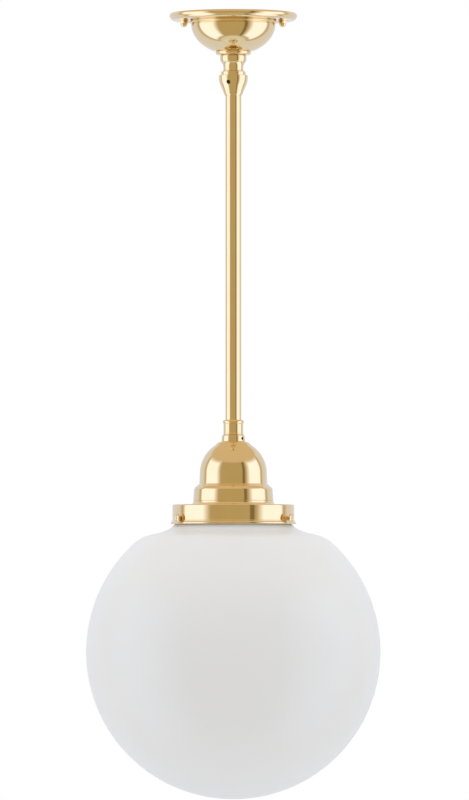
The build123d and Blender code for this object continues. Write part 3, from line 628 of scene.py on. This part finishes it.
def make_bell():
    """Bell: dome, two rolled steps, groove and flared foot."""
    foot_radius, foot, top = reach("bell")
    sheet, dome, crown = 1.0, 28.5, 58
    centre = top - 26.9
    wall, wall_foot = dome + 0.4, foot + 17.8
    step, step_top = foot_radius - 2.0, foot + 12.8
    band, groove = foot_radius - 1.3, foot + 3.2
    corners = oval(centre, dome, dome, 0, crown, 44)
    corners += curve(corners[-1], (13.4, top - 1.0), (11.5, top), 8)[1:]
    corners += [(nipple_hole, top), (nipple_hole, top - sheet)]
    inner = oval(centre, dome - sheet, dome - sheet, crown, 0, 40)
    corners += curve((11.0, top - sheet), (12.9, top - 2.0), inner[0], 8)
    corners += inner[1:]
    corners += [
        (wall - sheet, wall_foot - 1.6, 0.5),
        (step - sheet, step_top - 1.4, 0.5),
        (band - sheet - 0.3, groove, 0.5),
        (band - sheet - 0.3, foot + 1.2, 0.3),
        (bell_opening, foot + 1.2, 0.2),
        (bell_opening, foot, 0.2),
        (foot_radius, foot, 0.25),
    ]
    corners += curve((foot_radius, foot + 0.35), (band + 0.55, foot + 1.1), (band + 0.2, groove - 0.8), 8)
    corners += [
        (band + 0.1, groove - 0.45, 0.15),
        (band - 0.35, groove - 0.3, 0.08),
        (band - 0.35, groove + 0.05, 0.08),
        (band - 0.03, groove + 0.4, 0.15),
    ]
    corners += curve((step, step_top), (step - 0.9, step_top + 1.7), (step - 2.6, step_top + 3.0), 12)
    corners += [
        (step - 2.85, step_top + 3.3, 0.2),
        (step - 2.95, step_top + 3.8, 0.3),
        (wall + 0.6, wall_foot - 0.7, 0.5),
        (wall + 0.03, wall_foot - 0.3, 0.15),
        (wall - 0.05, wall_foot + 1.0, 0.4),
    ]
    piece = lathe("stepped_bell", rounded(corners), 192)
    dress(piece, "bell", "pendant", "polished_brass")


def make_gallery():
    """Gallery ring: flat top under the bell, straight wall and a rolled lip."""
    lip, foot, top = reach("gallery_ring")
    wall, bore, sheet = lip - 1.6, lip - 3.2, 1.4
    corners = [
        (bell_opening, top - sheet, 0.2),
        (bell_opening, top, 0.2),
        (wall, top, 1.2),
        (wall, foot + 3.3, 0.3),
        (wall + 0.5, foot + 2.9, 0.2),
        (wall + 0.6, foot + 2.3, 0.2),
        (lip, foot + 1.4, 0.3),
        (lip, foot + 0.2, 0.6),
        (lip - 0.9, foot, 0.3),
        (bore, foot, 0.3),
        (bore, top - sheet, 0.8),
    ]
    piece = lathe("gallery", rounded(corners), 224)
    drills = []
    for side in ("left", "right", "back"):
        angle, z = screw_line(f"thumbscrew_{side}")
        drills.append(pin(f"drill_{side}", 2.05, bore - 3, lip + 3, angle, z))
    cut(piece, *drills)
    dress(piece, "gallery_ring", "pendant", "polished_brass")


def make_thumbscrew(side):
    """Waisted thumbscrew with a finely knurled head, along its own radius."""
    name = f"thumbscrew_{side}"
    joint = next(j for j in frame["joints"] if j["child"] == name)
    outward = Vector(joint["axis"])
    along = [outward.dot(v.co) / mm for v in frame["nodes"][name].data.vertices]
    tip, end = min(along), max(along)
    z = screw_line(name)[1]
    shank, head = 2.0, 4.0
    waist = end - 3.9
    corners = [(0, tip), (shank - 0.5, tip), (shank, tip + 0.5)]
    for k in range(int((waist - tip - 1.4) / 0.7)):
        crest = tip + 0.8 + 0.7 * k
        corners += [(shank - 0.28, crest), (shank, crest + 0.35)]
    corners += curve((shank, waist), (shank + 0.4, waist + 1.3), (head - 0.3, waist + 2.3), 8)
    corners += [
        (head - 0.05, waist + 2.5, 0.1),
        (head, waist + 2.7, 0.1),
        (head, end - 0.9, 0.3),
        (head - 0.9, end - 0.25, 0.5),
        (2.0, end, 0.4),
        (1.3, end - 0.25, 0.3),
        (0, end - 0.35),
    ]
    teeth, depth = 30, 0.14

    def knurl(radius, height, angle):
        if radius > head - 0.3 and waist + 2.4 < height < end - 0.35:
            return radius - depth * (0.5 - 0.5 * cos(teeth * angle))
        return radius

    turn = outward.to_track_quat("Z", "Y").to_matrix().to_4x4()
    place = Matrix.Translation((0, 0, z * mm)) @ turn
    piece = lathe(f"knurled_screw_{side}", rounded(corners, 4), 180, place, knurl)
    dress(piece, name, name, "polished_brass")


# ---------------------------------------------------------------- globe


def make_globe():
    """Opal globe with a drawn-in shoulder and a lipped neck."""
    low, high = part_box("opal_globe")
    radius, foot, top = high.x / mm, low.z / mm, high.z / mm
    centre = foot + radius
    glass, neck, lip = 3.0, 46.4, 48.5
    inside = radius - glass
    shoulder_radius, slope = 83.0, radians(133)
    shoulder = degrees(asin((radius * radius - shoulder_radius**2) ** 0.5 / radius))
    neck_low = top - 10.4

    def shell(size, neck_radius):
        end = (size * cos(radians(shoulder)), centre + size * sin(radians(shoulder)))
        ball = oval(centre, size, size, -90, shoulder, 120)
        away = radius - size
        meet = (50.0 - 0.55 * away, top - 14.6 - 0.83 * away)
        rise = bezier(end, radians(shoulder + 90), meet, slope, 10)
        turn = bezier(meet, slope, (neck_radius, neck_low), radians(90), 10)
        return [(0, centre - size), *ball[1:], *rise[1:], *turn[1:]]

    outer = shell(radius, neck)
    inner = shell(inside, neck - glass)
    corners = outer + [
        (neck, top - 7.3, 0.6),
        (lip, top - 5.9, 0.8),
        (lip, top, 1.1),
        (neck - glass, top, 0.8),
    ]
    corners += inner[::-1]
    piece = lathe("opal_globe_glass", rounded(corners), 256)
    dress(piece, "opal_globe", "pendant", "opal_glass")


def bezier(start, start_angle, end, end_angle, steps):
    """Cubic between two points with the given directions of travel, in radians."""
    reach_out = 0.36 * hypot(end[0] - start[0], end[1] - start[1])
    a = Vector(start)
    b = a + Vector((cos(start_angle), sin(start_angle))) * reach_out
    d = Vector(end)
    c = d - Vector((cos(end_angle), sin(end_angle))) * reach_out
    made = []
    for k in range(steps + 1):
        t = k / steps
        u = 1 - t
        made.append(tuple(a * u**3 + b * (3 * u * u * t) + c * (3 * u * t * t) + d * t**3))
    return made


# ---------------------------------------------------------------- studio


# Colours of light, and the studio's angles in degrees: across from the camera, and up.
soft_box = (1.24, 1.31, 1.62)
dim_room = (0.53, 0.42, 0.235)
black_flag = (0.24, 0.19, 0.10)
pale_wall = (0.78, 0.80, 0.90)
pale_ceiling = (0.72, 0.58, 0.40)
pale_floor = (0.76, 0.79, 0.78)
box_inner, box_outer, box_top, box_foot = 44, 110, 33, -62
inner_fade, outer_fade, top_fade, foot_fade = 16, 8, 12, 6
flag_width, flag_fade, wall_fade, ceiling_fade = 8, 2, 12, 6


def blend(first, second, share):
    """Mix of two colours; share 1 gives the second."""
    share = min(1.0, max(0.0, share))
    return tuple(a + (b - a) * share for a, b in zip(first, second))


def studio_light(turn, rise):
    """Light of the plain studio in one direction, in degrees right of the camera and up."""
    side = abs(turn)
    colour = blend(dim_room, pale_wall, (side - box_outer) / wall_fade)
    if turn > 0:
        in_flag = flag_width / 2 - abs(side - box_inner + flag_width)
        colour = blend(colour, black_flag, in_flag / flag_fade + 0.5)
    colour = blend(colour, pale_ceiling, (rise - box_top) / ceiling_fade)
    colour = blend(colour, pale_floor, (box_foot - rise) / foot_fade)
    inside = min((side - box_inner) / inner_fade, (box_outer - side) / outer_fade)
    height = min((box_top + ceiling_fade - rise) / top_fade, (rise - box_foot) / foot_fade)
    return blend(colour, soft_box, min(inside, height))


def make_studio():
    """Dome that gives reflections two soft boxes, a dim room, and pale walls, ceiling and floor."""
    centre = (cad_box[0] + cad_box[1]) / 2
    step, distance = 3, 3.0
    turns = range(-180, 181, step)
    rises = range(-90, 91, step)
    shape = bmesh.new()
    tint = shape.verts.layers.float_color.new("light")
    grid = []
    for turn in turns:
        line = []
        for rise in rises:
            a, e = radians(turn), radians(rise)
            way = Vector((sin(a) * cos(e), -cos(a) * cos(e), sin(e)))
            point = shape.verts.new(Vector((0, 0, centre.z)) + way * distance)
            point[tint] = (*studio_light(turn, rise), 1)
            line.append(point)
        grid.append(line)
    for left, right in zip(grid, grid[1:]):
        for j in range(len(left) - 1):
            shape.faces.new((left[j], right[j], right[j + 1], left[j + 1]))
    dome = mesh_object("studio_dome", shape)
    material = bpy.data.materials.new("studio_glow")
    material.use_nodes = True
    tree = material.node_tree
    tree.nodes.clear()
    colours = node(tree, "ShaderNodeVertexColor", layer_name="light")
    light = node(tree, "ShaderNodeEmission", in_Strength=1.0)
    output = node(tree, "ShaderNodeOutputMaterial")
    tree.links.new(colours.outputs["Color"], light.inputs["Color"])
    tree.links.new(light.outputs[0], output.inputs["Surface"])
    material.cycles.emission_sampling = "NONE"
    dome.data.materials.append(material)
    dome.visible_camera = False
    dome.visible_diffuse = False
    dome.visible_shadow = False
    dome.visible_transmission = False


def make_soft_light(name, strength, tilt):
    """Wide soft light on the glass alone: from above at tilt 0, the right at 90, below at 180."""
    light = bpy.data.lights.new(name, "SUN")
    light.energy = strength
    light.angle = radians(80)
    lamp = bpy.data.objects.new(name, light)
    lamp.rotation_euler = (0, radians(tilt), 0)
    lamp.visible_glossy = False
    bpy.context.scene.collection.objects.link(lamp)
    glass = bpy.data.collections.new(name + "_glass")
    glass.objects.link(bpy.data.objects["opal_globe_glass"])
    lamp.light_linking.receiver_collection = glass
    lamp.light_linking.blocker_collection = glass


def make_world():
    """Even white light from everywhere; reflections see the studio dome instead."""
    world = bpy.data.worlds.new("white_room")
    world.use_nodes = True
    background = world.node_tree.nodes["Background"]
    background.inputs["Color"].default_value = (1, 1, 1, 1)
    background.inputs["Strength"].default_value = 1.0
    bpy.context.scene.world = world


def make_floor():
    """Pale floor, far below, that lets views from below pass."""
    floor_radius, drop = 30.0, 1.9
    material, shader = new_material("pale_floor", Roughness=0.9)
    tree = material.node_tree
    tone = spread(tree, noise(tree, object_place(tree), 3), 0, 1)
    colour = blend_colours(tree, tone, (0.86, 0.86, 0.86), (0.88, 0.88, 0.88))
    tree.links.new(colour, shader.inputs["Base Color"])
    clear = node(tree, "ShaderNodeBsdfTransparent")
    side = node(tree, "ShaderNodeNewGeometry")
    either = node(tree, "ShaderNodeMixShader")
    tree.links.new(side.outputs["Backfacing"], either.inputs["Fac"])
    tree.links.new(shader.outputs["BSDF"], either.inputs[1])
    tree.links.new(clear.outputs["BSDF"], either.inputs[2])
    tree.links.new(either.outputs["Shader"], tree.nodes["Material Output"].inputs["Surface"])
    shape = bmesh.new()
    bmesh.ops.create_circle(shape, cap_ends=True, segments=96, radius=floor_radius)
    bmesh.ops.translate(shape, vec=(0, 0, cad_box[0].z - drop), verts=shape.verts)
    mesh = bpy.data.meshes.new("floor")
    shape.to_mesh(mesh)
    shape.free()
    floor = bpy.data.objects.new("floor", mesh)
    bpy.context.scene.collection.objects.link(floor)
    floor.data.materials.append(material)
    floor.visible_glossy = False


def make_camera():
    """Long lens, far in front, a little above the globe's middle, tipped up to take in the lamp."""
    globe_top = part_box("opal_globe")[1].z
    aside, distance, below_top, aim_rise = 1.0 * mm, 6.8, 78.4 * mm, 5.0 * mm
    camera_data = bpy.data.cameras.new("camera")
    camera_data.lens = 360
    camera_data.sensor_width = 36
    camera_data.clip_end = 100
    camera = bpy.data.objects.new("camera", camera_data)
    eye = Vector((aside, -distance, globe_top - below_top))
    aim = Vector((eye.x, 0, (cad_box[0].z + cad_box[1].z) / 2 + aim_rise))
    camera.location = eye
    camera.rotation_euler = (aim - eye).to_track_quat("-Z", "Y").to_euler()
    bpy.context.scene.collection.objects.link(camera)
    bpy.context.scene.camera = camera


finish_cad_nodes()
make_canopy()
for nut_side in ("left", "right"):
    make_cap_nut(nut_side)
make_collar()
make_neck()
make_retaining_ring()
make_cup()
make_rod()
make_coupler()
make_lock_collar()
make_bell()
make_gallery()
for screw_side in ("left", "right", "back"):
    make_thumbscrew(screw_side)
make_globe()
make_studio()
make_soft_light("top_light", 0.50, 0)
make_soft_light("right_light", 0.40, 90)
make_soft_light("floor_light", 0.35, 180)
make_soft_light("left_light", 0.40, 270)
make_world()
make_floor()
make_camera()
bpy.context.scene.view_settings.view_transform = "Standard"
